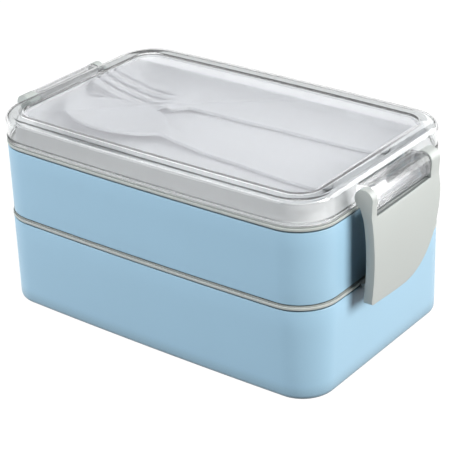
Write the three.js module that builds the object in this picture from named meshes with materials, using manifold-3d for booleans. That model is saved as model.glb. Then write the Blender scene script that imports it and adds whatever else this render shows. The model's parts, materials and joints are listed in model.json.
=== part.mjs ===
// Two-tier bento lunch box with a clear lid, two side latches, a cutlery tray, a fork and a spoon.
// Millimetres. +Z is up, +X runs along the long side, and the origin is the centre of the base.

import * as THREE from 'three';
import { mergeVertices } from 'three/addons/utils/BufferGeometryUtils.js';
import Module from 'manifold-3d';

const wasm = await Module();
wasm.setup();

// ---------------------------------------------------------------- driving dimensions

// Rim outline that every tier, cover and lid is measured from.
const HALF_LENGTH = 92.5;
const HALF_DEPTH = 57.9;
const CORNER_RADIUS = 18.9;
const CROWN = 1.5; // how far each long side bulges at its middle

// Heights of the stack, from the table up.
const LOWER_TOP = 47.6;
const UPPER_BOTTOM = 47.9;
const UPPER_TOP = 85.3;
const LID_BOTTOM = 85.6;
const LID_TOP = 98;

// Insets are measured inward from the rim outline; a negative one stands outside it.
const LOWER_SHELL_INSET = -0.35;
const LOWER_BAND_INSET = -0.62;
const UPPER_SHELL_INSET = 0;
const UPPER_BAND_INSET = -0.25;
const DRAFT = 0.0167; // how much the lower tier narrows per millimetre of depth
const CORNER_NARROWING = 0.05; // how much its corner radius shrinks per millimetre of depth

const SHELL_WALL = 1.6;
const SHELL_FLOOR = 2;
const LINER_WALL = 1.4;
const LINER_FLOOR = 1.6;
const LINER_GAP = 0.5; // air between a shell and its liner
const BAND_HEIGHT = 1.8; // the liner flange that shows as a grey band
const BAND_GAP = 0.7; // shadow line between the flange and the shell under it

const COVER_STEP_INSET = 2.1; // ledge in each flange that its cover drops into
const COVER_STEP_DEPTH = 1.4;
const COVER_CLEARANCE = 0.3;
const SEAT_GAP = 0.1;
const COVER_PLATE = 1.3;
const SKIRT_DEPTH = 6;
const SKIRT_WALL = 2;
const GASKET_HEIGHT = 2.2;
const GASKET_DEPTH = 0.85; // how far the gasket sits back into the skirt
const GASKET_PLAY = 0.1;

const LID_WALL = 1.8;
const LID_EDGE_ROUND = 3.2;
const LID_BORDER = 9.2; // width of the raised border round the lid's sunk panel
const LID_PANEL_SINK = 1.2;
const LID_PANEL_THICKNESS = 1.6;
const LID_PANEL_CORNER = 10;
const LID_FOOT_HEIGHT = 1.8;
const LID_FOOT_OUTER = -0.15;
const LID_FOOT_INNER = 2.1;

// Latch hinge. The axis runs along Y beside each short end of the lid.
const HINGE_X = 98.5;
const HINGE_Z = 91.2;
const KNUCKLE_RADIUS = 4.6;
const LATCH_HALF_WIDTH = 28;
const ARM_INNER = [-24, 20.7]; // faces of the two arms towards the lug; the near arm is the narrower
const LUG_ENDS = [-23.7, 20.4];
const LUG_RADIUS = 4.4;
const LUG_BOTTOM = 85.8;
const LUG_ROOT = HALF_LENGTH - 0.9; // where the lug sinks into the lid's wall
const PIN_RADIUS = 1.5;
const PIN_BORE_RADIUS = 1.58;
const PIN_LENGTH = 3.4; // from each arm into the lug
const PIN_BORE_DEPTH = 3.5;

// Latch plate. It bows outward from the hinge to its lower edge.
const PLATE_TOP = 84;
const PLATE_BOTTOM = 39.9;
const PLATE_OUTER = 102.7;
const PLATE_THICKNESS = 4.3;
const PLATE_BOW = 1.7;
const STEP_DEPTH = 1.6; // shadow step along the plate's upper edge
const STEP_DROP = [1.05, 0.1]; // its height at the near arm and at the far one
const POCKET_Y = [-24.5, 14]; // lightening pocket in the plate's back
const POCKET_Z = [50, 78];
const POCKET_FACE = PLATE_OUTER - 0.6;

// Catch tab on each short side of the lower liner's flange, and the latch's hook under it.
const CATCH_REACH = 96.2;
const CATCH_Y = [-22, 8];
const CATCH_BOTTOM = 45.2;
const CATCH_TOP = 47.4;
const CATCH_CHAMFER = 0.6;
const HOOK_REACH = 94.1;
const HOOK_Y = [-20, 4];
const HOOK_BOTTOM = 42.4;
const HOOK_TOP = 44.9;

const TRAY_WALL_INSET = 4.2;
const TRAY_WALL = 1.3;
const TRAY_WALL_TOP = 94;
const TRAY_WALL_LEAN = 0.11; // how much the standing wall leans in per millimetre of height

// The fork and spoon lie side by side, each turned a little about the middle of its head.
const FORK_Y = 20;
const FORK_TURN = 4;
const SPOON_Y = -14.5;
const SPOON_TURN = -1.5;
const HEAD_X = -58;
const HANDLE_END_X = 76;
const HANDLE_END_HALF = 6.6;
const CUTLERY_THICKNESS = 1.8;
const BELOW_CUTLERY = 80; // a height under all of the fork and spoon

const DIVIDER_X = -18;
const DIVIDER_THICKNESS = 1.8;

const CORNER_STEPS = 8;
const SIDE_STEPS = 6;
const CURVE_STEPS = 4;
const ROUND_STEPS = 3;
const ROUND_SIDES = 24; // facets round knuckles, pins and bores
const FAR = 400; // larger than the whole box

// ---------------------------------------------------------------- solids from geometry

// A closed geometry as a solid that can be joined and cut.
function toSolid(geometry) {
  const bare = geometry.clone();
  bare.deleteAttribute('normal');
  bare.deleteAttribute('uv');
  const merged = mergeVertices(bare, 1e-4);
  return new wasm.Manifold(new wasm.Mesh({
    numProp: 3,
    vertProperties: new Float32Array(merged.attributes.position.array),
    triVerts: new Uint32Array(merged.index.array),
  }));
}

function toGeometry(solid) {
  const mesh = solid.getMesh();
  const geometry = new THREE.BufferGeometry();
  geometry.setAttribute('position', new THREE.BufferAttribute(new Float32Array(mesh.vertProperties), 3));
  geometry.setIndex(new THREE.BufferAttribute(new Uint32Array(mesh.triVerts), 1));
  geometry.computeVertexNormals();
  return geometry;
}

function box(low, high) {
  const size = high.map((value, axis) => value - low[axis]);
  const geometry = new THREE.BoxGeometry(...size);
  geometry.translate(...low.map((value, axis) => value + size[axis] / 2));
  return toSolid(geometry);
}

// The layer of space between two heights.
function slab(bottom, top) {
  return box([-FAR, -FAR, bottom], [FAR, FAR, top]);
}

// A round bar along Y.
function barAlongY(radius, x, z, yFrom, yTo) {
  const geometry = new THREE.CylinderGeometry(radius, radius, yTo - yFrom, ROUND_SIDES);
  geometry.translate(x, (yFrom + yTo) / 2, z);
  return toSolid(geometry);
}

// An outline drawn in (x, z), pushed along Y.
function alongY(shape, yFrom, yTo, curveSegments = 8) {
  const geometry = new THREE.ExtrudeGeometry(shape, { depth: yTo - yFrom, bevelEnabled: false, curveSegments });
  geometry.rotateX(Math.PI / 2);
  geometry.translate(0, yTo, 0);
  return toSolid(geometry);
}

// An outline drawn in (y, z), pushed along X.
function alongX(shape, xFrom, xTo, curveSegments = 8) {
  const geometry = new THREE.ExtrudeGeometry(shape, { depth: xTo - xFrom, bevelEnabled: false, curveSegments });
  geometry.rotateX(Math.PI / 2);
  geometry.rotateZ(Math.PI / 2);
  geometry.translate(xFrom, 0, 0);
  return toSolid(geometry);
}

// Draws a geometry's walls inward by an amount that depends on height.
function applyTaper(geometry, inwardAt) {
  const position = geometry.attributes.position;
  for (let i = 0; i < position.count; i += 1) {
    const inward = inwardAt(position.getZ(i));
    position.setX(i, position.getX(i) * (1 - inward / HALF_LENGTH));
    position.setY(i, position.getY(i) * (1 - inward / HALF_DEPTH));
  }
}

// Tightens the rim outline's corner radius by an amount that depends on height, keeping the sides in place.
function tightenCorners(geometry, shrinkAt) {
  const position = geometry.attributes.position;
  const centreX = HALF_LENGTH - CORNER_RADIUS;
  const centreY = HALF_DEPTH - CORNER_RADIUS;
  for (let i = 0; i < position.count; i += 1) {
    const sideX = Math.sign(position.getX(i));
    const sideY = Math.sign(position.getY(i));
    const x = Math.abs(position.getX(i)) - centreX;
    const y = Math.abs(position.getY(i)) - centreY;
    const shrink = shrinkAt(position.getZ(i));
    if (x >= 0 && y >= 0) {
      const reach = Math.hypot(x, y);
      position.setX(i, sideX * (centreX + shrink + x * (1 - shrink / reach)));
      position.setY(i, sideY * (centreY + shrink + y * (1 - shrink / reach)));
    }
  }
}

// An outline in (x, y) raised between two heights, with either end's edge rounded.
function prism(shape, bottom, top, { bottomRound = 0, topRound = 0, taper = null, tighten = null } = {}) {
  const round = Math.max(bottomRound, topRound);
  const spareBelow = bottomRound > 0 ? 0 : round;
  const spareAbove = topRound > 0 ? 0 : round;
  const geometry = new THREE.ExtrudeGeometry(shape, {
    depth: top - bottom + spareBelow + spareAbove - 2 * round,
    curveSegments: CURVE_STEPS,
    bevelEnabled: round > 0,
    bevelThickness: round,
    bevelSize: round,
    bevelOffset: -round,
    bevelSegments: ROUND_STEPS,
  });
  geometry.translate(0, 0, bottom - spareBelow + round);
  if (tighten) {
    tightenCorners(geometry, tighten);
  }
  if (taper) {
    applyTaper(geometry, taper);
  }
  const solid = toSolid(geometry);
  return round > 0 ? solid.intersect(slab(bottom, top)) : solid;
}

// ---------------------------------------------------------------- shared outlines

// A rounded rectangle whose long sides bulge by CROWN.
function roundedOutline(halfLength, halfDepth, radius) {
  const x = halfLength - radius;
  const y = halfDepth - radius;
  const corners = [[x, -y], [x, y], [-x, y], [-x, -y]];
  const points = [];
  corners.forEach(([centreX, centreY], quarter) => {
    for (let step = 0; step <= CORNER_STEPS; step += 1) {
      const angle = (quarter - 1 + step / CORNER_STEPS) * (Math.PI / 2);
      points.push(new THREE.Vector2(centreX + radius * Math.cos(angle), centreY + radius * Math.sin(angle)));
    }
    const onLongSide = quarter % 2 === 1;
    for (let step = 1; onLongSide && step < SIDE_STEPS; step += 1) {
      points.push(new THREE.Vector2(centreX * (1 - 2 * step / SIDE_STEPS), Math.sign(centreY) * halfDepth));
    }
  });
  points.forEach((point) => {
    point.y *= 1 + (CROWN / HALF_DEPTH) * (1 - (point.x / HALF_LENGTH) ** 2);
  });
  return new THREE.Shape(points);
}

function footprint(inset) {
  return roundedOutline(HALF_LENGTH - inset, HALF_DEPTH - inset, CORNER_RADIUS - inset);
}

// A ring that follows the rim outline between two insets.
function ring(outerInset, innerInset, bottom, top, options = {}) {
  const outer = prism(footprint(outerInset), bottom, top, options);
  return outer.subtract(prism(footprint(innerInset), bottom - 1, top + 1, options));
}

// An open-topped bowl that follows the rim outline.
function bowl(inset, wall, floor, bottom, top, options) {
  const outer = prism(footprint(inset), bottom, top, options);
  return outer.subtract(prism(footprint(inset + wall), bottom + floor, top + 1, options));
}

// ---------------------------------------------------------------- tiers

const LOWER_SHELL_TOP = LOWER_TOP - BAND_HEIGHT - BAND_GAP;
const LOWER_LINER_INSET = LOWER_SHELL_INSET + SHELL_WALL + LINER_GAP;
const UPPER_SHELL_TOP = UPPER_TOP - BAND_HEIGHT - BAND_GAP;
const UPPER_LINER_INSET = UPPER_SHELL_INSET + SHELL_WALL + LINER_GAP;

// The lower tier's walls narrow and its corners tighten towards the base.
const LOWER_DRAFT = {
  taper: (z) => DRAFT * Math.max(LOWER_TOP - z, 0),
  tighten: (z) => CORNER_NARROWING * Math.max(LOWER_TOP - z, 0),
};

function lowerShell() {
  const options = { bottomRound: 2.5, ...LOWER_DRAFT };
  return bowl(LOWER_SHELL_INSET, SHELL_WALL, SHELL_FLOOR, 0, LOWER_SHELL_TOP, options);
}

function upperShell() {
  return bowl(UPPER_SHELL_INSET, SHELL_WALL, SHELL_FLOOR, UPPER_BOTTOM, UPPER_SHELL_TOP, { bottomRound: 1.2 });
}

// A bowl with an outward flange; the flange has an inner ledge for its cover.
function liner(inset, bandInset, bottom, top, draft = {}) {
  const options = { bottomRound: 2, ...draft };
  const body = bowl(inset, LINER_WALL, LINER_FLOOR, bottom, top, options);
  const flange = ring(bandInset, inset + LINER_WALL, top - BAND_HEIGHT, top);
  const ledge = prism(footprint(COVER_STEP_INSET), top - COVER_STEP_DEPTH, top + 1);
  return body.add(flange).subtract(ledge);
}

// The tab on the right short side that the latch hooks under. It drops outside the shell's wall.
function catchTab() {
  const root = HALF_LENGTH - 0.1;
  const shellFace = HALF_LENGTH - LOWER_SHELL_INSET + 0.4;
  const flangeBottom = LOWER_TOP - BAND_HEIGHT + 0.1;
  const profile = new THREE.Shape();
  profile.moveTo(root, flangeBottom);
  profile.lineTo(shellFace, flangeBottom);
  profile.lineTo(shellFace, CATCH_BOTTOM);
  profile.lineTo(CATCH_REACH - CATCH_CHAMFER, CATCH_BOTTOM);
  profile.lineTo(CATCH_REACH, CATCH_BOTTOM + CATCH_CHAMFER);
  profile.lineTo(CATCH_REACH, CATCH_TOP - CATCH_CHAMFER);
  profile.lineTo(CATCH_REACH - CATCH_CHAMFER, CATCH_TOP);
  profile.lineTo(root, CATCH_TOP);
  return alongY(profile, ...CATCH_Y);
}

function lowerLiner() {
  const body = liner(LOWER_LINER_INSET, LOWER_BAND_INSET, SHELL_FLOOR + 0.3, LOWER_TOP, LOWER_DRAFT);
  const tab = catchTab();
  return body.add(tab).add(tab.rotate([0, 0, 180]));
}

function upperLiner() {
  return liner(UPPER_LINER_INSET, UPPER_BAND_INSET, UPPER_BOTTOM + SHELL_FLOOR + 0.3, UPPER_TOP);
}

// ---------------------------------------------------------------- covers and gaskets

// Plate on the flange's ledge and a skirt inside the bowl, grooved for its gasket.
function sealingCover(linerInset, top) {
  const plateBottom = top - COVER_STEP_DEPTH + SEAT_GAP;
  const skirtInset = linerInset + LINER_WALL + 0.45;
  const grooveBottom = plateBottom - SKIRT_DEPTH + 1.6;
  const plate = prism(footprint(COVER_STEP_INSET + COVER_CLEARANCE), plateBottom, plateBottom + COVER_PLATE);
  const skirt = ring(skirtInset, skirtInset + SKIRT_WALL, plateBottom - SKIRT_DEPTH, plateBottom + 0.5);
  const groove = ring(skirtInset - 1, skirtInset + GASKET_DEPTH, grooveBottom, grooveBottom + GASKET_HEIGHT);
  return plate.add(skirt).subtract(groove);
}

function gasket(linerInset, top, wallPlay) {
  const skirtInset = linerInset + LINER_WALL + 0.45;
  const grooveBottom = top - COVER_STEP_DEPTH + SEAT_GAP - SKIRT_DEPTH + 1.6;
  return ring(
    linerInset + LINER_WALL + wallPlay,
    skirtInset + GASKET_DEPTH - GASKET_PLAY,
    grooveBottom + GASKET_PLAY,
    grooveBottom + GASKET_HEIGHT - GASKET_PLAY,
  );
}

function middleCover() {
  return sealingCover(LOWER_LINER_INSET, LOWER_TOP);
}

// The upper tier's cover, with a standing wall round the cutlery.
function cutleryTray() {
  const cover = sealingCover(UPPER_LINER_INSET, UPPER_TOP);
  const floorTop = UPPER_TOP - COVER_STEP_DEPTH + SEAT_GAP + COVER_PLATE;
  const lean = { taper: (z) => TRAY_WALL_LEAN * Math.max(z - floorTop, 0) };
  const wall = ring(TRAY_WALL_INSET, TRAY_WALL_INSET + TRAY_WALL, floorTop - 0.5, TRAY_WALL_TOP, lean);
  return cover.add(wall);
}

// ---------------------------------------------------------------- divider

// An upright wall across the upper bowl, with a foot along its lower edge.
function divider() {
  const bottom = UPPER_BOTTOM + SHELL_FLOOR + 0.3 + LINER_FLOOR + 0.3;
  const top = UPPER_TOP - COVER_STEP_DEPTH - SKIRT_DEPTH - 0.6;
  const halfSpan = HALF_DEPTH - UPPER_LINER_INSET - LINER_WALL - 0.8;
  const half = DIVIDER_THICKNESS / 2;
  const wall = box([DIVIDER_X - half, -halfSpan, bottom], [DIVIDER_X + half, halfSpan, top]);
  const foot = box([DIVIDER_X - 4, -halfSpan + 4, bottom], [DIVIDER_X + 4, halfSpan - 4, bottom + 1.4]);
  return wall.add(foot);
}

// ---------------------------------------------------------------- cutlery

// A thin strip that follows side-view points (x, z), as wide as the whole tray.
function ribbon(points, thickness) {
  const below = points.map(([x, z]) => new THREE.Vector2(x, z));
  const above = points.map(([x, z]) => new THREE.Vector2(x, z + thickness)).reverse();
  const shape = new THREE.Shape();
  shape.moveTo(below[0].x, below[0].y);
  shape.splineThru(below.slice(1));
  shape.lineTo(above[0].x, above[0].y);
  shape.splineThru(above.slice(1));
  return alongY(shape, -FAR / 4, FAR / 4, 4);
}

// Plan outline of a handle that widens towards its rounded end.
function handleOutline(shape, neckX, neckHalf) {
  const endX = HANDLE_END_X;
  const endHalf = HANDLE_END_HALF;
  shape.bezierCurveTo(neckX + 20, -neckHalf, endX - 40, -endHalf, endX - endHalf, -endHalf);
  shape.absarc(endX - endHalf, 0, endHalf, -Math.PI / 2, Math.PI / 2);
  shape.bezierCurveTo(endX - 40, endHalf, neckX + 20, neckHalf, neckX, neckHalf);
}

// Turns a fork or spoon about the middle of its head and sets it at y.
function placeCutlery(solid, turn, y) {
  return solid.translate([-HEAD_X, 0, 0]).rotate([0, 0, turn]).translate([HEAD_X, y, 0]);
}

function fork() {
  const tipX = -85.2;
  const headHalf = 13.6;
  const shoulderX = -42;
  const neckX = -28;
  const neckHalf = 4;
  const slotHalf = 1.3;
  const slotRootX = -47;
  const outline = new THREE.Shape();
  outline.moveTo(tipX, -headHalf + 1);
  outline.lineTo(shoulderX, -headHalf);
  outline.bezierCurveTo(shoulderX + 7, -headHalf, shoulderX + 6, -neckHalf, neckX, -neckHalf);
  handleOutline(outline, neckX, neckHalf);
  outline.bezierCurveTo(shoulderX + 6, neckHalf, shoulderX + 7, headHalf, shoulderX, headHalf);
  outline.lineTo(tipX, headHalf - 1);
  const plan = prism(outline, BELOW_CUTLERY, LID_TOP);
  const side = ribbon([[-92, 95.5], [tipX, 92.6], [-78, 90], [-70, 88], [-61, 86.4], [-52, 85.8], [-46, 86.1],
    [-40.5, 88.4], [-34, 86.8], [-20, 86.1], [0, 85.7], [80, 85.6]], CUTLERY_THICKNESS);
  const slots = [-7, 0, 7].map((y) => box(
    [tipX - 4, y - slotHalf, BELOW_CUTLERY],
    [slotRootX, y + slotHalf, LID_TOP],
  ));
  const body = slots.reduce((solid, slot) => solid.subtract(slot), plan.intersect(side));
  return placeCutlery(body, FORK_TURN, FORK_Y);
}

// A flattened ball, used for the outside and the hollow of the spoon's bowl.
function ellipsoid(halfLength, halfWidth, halfHeight, x, z) {
  const geometry = new THREE.SphereGeometry(1, 28, 14);
  geometry.rotateX(Math.PI / 2);
  geometry.scale(halfLength, halfWidth, halfHeight);
  geometry.translate(x, 0, z);
  return toSolid(geometry);
}

function spoon() {
  const bowlX = -51;
  const rimZ = 91.4;
  const neckX = -24;
  const neckHalf = 4;
  const outside = ellipsoid(30, 17.3, 5.7, bowlX, rimZ).intersect(slab(BELOW_CUTLERY, rimZ));
  const hollow = ellipsoid(28.4, 15.7, 4.3, bowlX, rimZ);
  const outline = new THREE.Shape();
  outline.moveTo(neckX, neckHalf);
  outline.lineTo(neckX, -neckHalf);
  handleOutline(outline, neckX, neckHalf);
  const side = ribbon([[neckX - 4, 89.4], [-18, 88.8], [-6, 87], [10, 85.9], [44, 85.7], [80, 85.6]],
    CUTLERY_THICKNESS);
  const handle = prism(outline, BELOW_CUTLERY, LID_TOP).intersect(side);
  return placeCutlery(outside.subtract(hollow).add(handle), SPOON_TURN, SPOON_Y);
}

// ---------------------------------------------------------------- lid

// Side view of the hinge lug: flat top, rounded outer shoulder, upright front face.
function lugProfile() {
  const front = HINGE_X + LUG_RADIUS;
  const shape = new THREE.Shape();
  shape.moveTo(LUG_ROOT, LUG_BOTTOM);
  shape.lineTo(front - 0.9, LUG_BOTTOM);
  shape.lineTo(front, LUG_BOTTOM + 0.9);
  shape.lineTo(front, HINGE_Z);
  shape.absarc(HINGE_X, HINGE_Z, LUG_RADIUS, 0, Math.PI / 2);
  shape.lineTo(LUG_ROOT, HINGE_Z + LUG_RADIUS);
  return shape;
}

// The lug on the +X end, with a framed front face and a blind pin bore in each end.
function hingeLug() {
  const [near, far] = LUG_ENDS;
  const frame = 3.4;
  const bar = alongY(lugProfile(), near, far, 4);
  const front = HINGE_X + LUG_RADIUS;
  const window = box([front - 0.5, near + frame, LUG_BOTTOM + 1.6], [front + 1, far - frame, HINGE_Z]);
  const bores = [[near - 1, near + PIN_BORE_DEPTH], [far - PIN_BORE_DEPTH, far + 1]]
    .map((ends) => barAlongY(PIN_BORE_RADIUS, HINGE_X, HINGE_Z, ...ends));
  return bores.reduce((lug, bore) => lug.subtract(bore), bar.subtract(window));
}

function lid() {
  const panelTop = LID_TOP - LID_PANEL_SINK;
  const panelBottom = panelTop - LID_PANEL_THICKNESS;
  const panelHalf = [HALF_LENGTH - LID_BORDER, HALF_DEPTH - LID_BORDER];
  const body = prism(footprint(0), LID_BOTTOM, LID_TOP, { topRound: LID_EDGE_ROUND });
  const hollow = prism(footprint(LID_WALL), LID_BOTTOM - 1, LID_TOP - LID_WALL, { topRound: LID_EDGE_ROUND / 2 });
  const panelBack = prism(
    roundedOutline(panelHalf[0] + LID_WALL, panelHalf[1] + LID_WALL, LID_PANEL_CORNER + LID_WALL),
    panelBottom, panelTop,
  );
  const sink = prism(roundedOutline(...panelHalf, LID_PANEL_CORNER), panelTop, LID_TOP + 1);
  const foot = ring(LID_FOOT_OUTER, LID_FOOT_INNER, LID_BOTTOM, LID_BOTTOM + LID_FOOT_HEIGHT);
  const lug = hingeLug();
  return body.subtract(hollow).add(panelBack).subtract(sink).add(foot).add(lug).add(lug.rotate([0, 0, 180]));
}

// ---------------------------------------------------------------- latches

// Face view (y, z) of the latch: a small near lower corner and a long sweeping far one.
function latchOutline() {
  const corner = 1.4;
  const shape = new THREE.Shape();
  shape.moveTo(-LATCH_HALF_WIDTH, HINGE_Z);
  shape.lineTo(-LATCH_HALF_WIDTH, PLATE_BOTTOM + 1.2 + corner);
  shape.quadraticCurveTo(-LATCH_HALF_WIDTH, PLATE_BOTTOM + 1, -LATCH_HALF_WIDTH + corner, PLATE_BOTTOM + 0.9);
  shape.quadraticCurveTo(-14, PLATE_BOTTOM - 0.3, -2, PLATE_BOTTOM);
  shape.bezierCurveTo(14, PLATE_BOTTOM - 0.4, 22.5, 52, LATCH_HALF_WIDTH, 76);
  shape.lineTo(LATCH_HALF_WIDTH, HINGE_Z);
  return shape;
}

// Side view (x, z) of the bowed plate and the arms that run up to the hinge axis.
function latchProfile() {
  const inner = PLATE_OUTER - PLATE_THICKNESS;
  const middleZ = (PLATE_TOP + PLATE_BOTTOM) / 2;
  const shape = new THREE.Shape();
  shape.moveTo(HINGE_X + KNUCKLE_RADIUS, HINGE_Z);
  shape.lineTo(PLATE_OUTER + 0.1, PLATE_TOP);
  shape.quadraticCurveTo(PLATE_OUTER + 2 * PLATE_BOW, middleZ, PLATE_OUTER, PLATE_BOTTOM - 1);
  shape.lineTo(inner, PLATE_BOTTOM - 1);
  shape.quadraticCurveTo(inner + 2 * PLATE_BOW, middleZ, inner - 0.1, PLATE_TOP - 2);
  shape.lineTo(HINGE_X - 1.6, HINGE_Z - 4);
  shape.lineTo(HINGE_X, HINGE_Z);
  return shape;
}

// The arched shadow step in the plate's upper edge, between the arms.
function latchStep() {
  const [near, far] = ARM_INNER;
  const [nearDrop, farDrop] = STEP_DROP;
  const shape = new THREE.Shape();
  shape.moveTo(near, PLATE_TOP + 1);
  shape.lineTo(near, PLATE_TOP - nearDrop);
  shape.quadraticCurveTo(0, PLATE_TOP - nearDrop, far, PLATE_TOP - farDrop);
  shape.lineTo(far, PLATE_TOP + 1);
  return alongX(shape, PLATE_OUTER - STEP_DEPTH, PLATE_OUTER + 10);
}

function latch() {
  const reach = [HOOK_REACH - 2, PLATE_OUTER + 2 * PLATE_BOW + 2];
  const plate = alongY(latchProfile(), -LATCH_HALF_WIDTH, LATCH_HALF_WIDTH, 10)
    .intersect(alongX(latchOutline(), ...reach, 6));
  const [near, far] = ARM_INNER;
  const notch = box([reach[0], near, PLATE_TOP], [reach[1] + 1, far, FAR]);
  const pocket = box([reach[0], POCKET_Y[0], POCKET_Z[0]], [POCKET_FACE, POCKET_Y[1], POCKET_Z[1]]);
  const hook = box([HOOK_REACH, HOOK_Y[0], HOOK_BOTTOM], [PLATE_OUTER - 2, HOOK_Y[1], HOOK_TOP]);
  const knuckles = [[-LATCH_HALF_WIDTH, near], [far, LATCH_HALF_WIDTH]]
    .map((ends) => barAlongY(KNUCKLE_RADIUS, HINGE_X, HINGE_Z, ...ends));
  const pins = [[near - 1, near + PIN_LENGTH], [far - PIN_LENGTH, far + 1]]
    .map((ends) => barAlongY(PIN_RADIUS, HINGE_X, HINGE_Z, ...ends));
  const body = plate.subtract(notch).subtract(latchStep()).subtract(pocket).add(hook);
  return [...knuckles, ...pins].reduce((joined, bar) => joined.add(bar), body);
}

// ---------------------------------------------------------------- materials and scene

function plastic(color, roughness, options = {}) {
  return new THREE.MeshStandardMaterial({ color, roughness, metalness: 0, ...options });
}

const BLUE = plastic(0x9bbed5, 0.35);
const PALE_GREY = plastic(0xc9cccc, 0.45);
const BAND_GREY = plastic(0xbec2c8, 0.4);
const SOFT_WHITE = plastic(0xdfe2e3, 0.7);
const CLEAR = plastic(0xe6edf0, 0.08, { transparent: true, opacity: 0.35 });

const bentoBox = new THREE.Group();

function addPiece(parent, name, solid, material) {
  const mesh = new THREE.Mesh(toGeometry(solid), material);
  mesh.name = name;
  parent.add(mesh);
}

addPiece(bentoBox, 'lower_shell', lowerShell(), BLUE);
addPiece(bentoBox, 'lower_liner', lowerLiner(), BAND_GREY);
addPiece(bentoBox, 'middle_cover', middleCover(), PALE_GREY);
addPiece(bentoBox, 'middle_cover_gasket', gasket(LOWER_LINER_INSET, LOWER_TOP, 0.16), SOFT_WHITE);
addPiece(bentoBox, 'upper_shell', upperShell(), BLUE);
addPiece(bentoBox, 'upper_liner', upperLiner(), BAND_GREY);
addPiece(bentoBox, 'divider', divider(), PALE_GREY);
addPiece(bentoBox, 'cutlery_tray', cutleryTray(), PALE_GREY);
addPiece(bentoBox, 'tray_gasket', gasket(UPPER_LINER_INSET, UPPER_TOP, 0.06), SOFT_WHITE);
addPiece(bentoBox, 'fork', fork(), PALE_GREY);
addPiece(bentoBox, 'spoon', spoon(), PALE_GREY);
addPiece(bentoBox, 'lid', lid(), CLEAR);

// Both latches are one moulding; the left one is turned half a turn about Z.
const latchSolid = latch();
addPiece(bentoBox, 'latch_right', latchSolid, PALE_GREY);
const leftEnd = new THREE.Group();
leftEnd.rotation.z = Math.PI;
addPiece(leftEnd, 'latch_left', latchSolid, PALE_GREY);
bentoBox.add(leftEnd);

export default bentoBox;
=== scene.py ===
import json
import math

import bmesh
import bpy
from mathutils import Matrix, Vector

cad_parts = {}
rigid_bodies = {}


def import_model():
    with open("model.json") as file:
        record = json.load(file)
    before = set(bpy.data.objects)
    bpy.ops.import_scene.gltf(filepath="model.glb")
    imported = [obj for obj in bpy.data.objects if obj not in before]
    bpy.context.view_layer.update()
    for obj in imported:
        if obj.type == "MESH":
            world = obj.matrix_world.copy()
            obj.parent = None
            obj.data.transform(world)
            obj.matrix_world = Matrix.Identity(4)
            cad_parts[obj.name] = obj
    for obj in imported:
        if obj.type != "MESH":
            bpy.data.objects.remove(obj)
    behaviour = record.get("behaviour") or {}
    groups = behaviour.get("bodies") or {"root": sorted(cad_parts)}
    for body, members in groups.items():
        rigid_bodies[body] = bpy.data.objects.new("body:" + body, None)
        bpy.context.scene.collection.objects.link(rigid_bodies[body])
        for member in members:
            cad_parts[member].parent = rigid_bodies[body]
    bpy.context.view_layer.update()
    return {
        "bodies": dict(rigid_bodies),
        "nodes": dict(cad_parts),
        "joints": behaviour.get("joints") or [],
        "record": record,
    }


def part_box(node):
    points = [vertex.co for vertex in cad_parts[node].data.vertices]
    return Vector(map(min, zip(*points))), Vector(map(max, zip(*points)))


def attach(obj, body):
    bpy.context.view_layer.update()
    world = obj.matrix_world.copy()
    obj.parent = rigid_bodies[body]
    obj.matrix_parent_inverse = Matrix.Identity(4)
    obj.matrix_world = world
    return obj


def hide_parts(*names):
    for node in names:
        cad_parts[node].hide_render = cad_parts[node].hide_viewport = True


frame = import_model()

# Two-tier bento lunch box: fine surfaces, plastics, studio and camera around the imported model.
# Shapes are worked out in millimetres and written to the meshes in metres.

MM = 0.001


def box_mm(node):
    """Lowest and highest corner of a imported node, in millimetres."""
    low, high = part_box(node)
    return low / MM, high / MM


# ---------------------------------------------------------------- sizes read from the frame

_, LOWER_HIGH = box_mm("lower_shell")
LOWER_LINER_LOW, LOWER_LINER_HIGH = box_mm("lower_liner")
UPPER_LOW, UPPER_HIGH = box_mm("upper_shell")
UPPER_LINER_LOW, UPPER_LINER_HIGH = box_mm("upper_liner")
_, MIDDLE_HIGH = box_mm("middle_cover")
TRAY_LOW, TRAY_HIGH = box_mm("cutlery_tray")
LID_LOW, LID_HIGH = box_mm("lid")
_, LATCH_HIGH = box_mm("latch_right")
DIVIDER_LOW, DIVIDER_HIGH = box_mm("divider")

CROWN = 1.5                              # bulge of a long side at its middle
HALF_LENGTH = UPPER_HIGH.x               # rim outline that insets are measured from
HALF_DEPTH = UPPER_HIGH.y - CROWN
CORNER_RADIUS = 18.9
CORNER_NARROWING = 0.05                  # the lower tier's corners tighten towards the base, per millimetre
DRAFT = 0.0167                           # the lower tier narrows towards the base, per millimetre

LOWER_BAND_INSET = -0.62
UPPER_BAND_INSET = HALF_LENGTH - UPPER_LINER_HIGH.x
LOWER_SHELL_INSET = -0.35
UPPER_SHELL_INSET = 0.0
SHELL_WALL = 1.6
SHELL_FLOOR = 2.0
LINER_WALL = 1.4
LINER_FLOOR = 1.6
LINER_GAP = 0.5
BAND_HEIGHT = 1.8
BAND_GROOVE = 0.4                        # shadow groove along the top of each grey band
LEDGE_INSET = 2.1
LEDGE_DEPTH = 1.4

HINGE_X = 98.5
HINGE_Z = 91.2

CORNER_STEPS = 16
LONG_SIDE_STEPS = 14
SHORT_SIDE_STEPS = 6


# ---------------------------------------------------------------- mesh helpers

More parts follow.
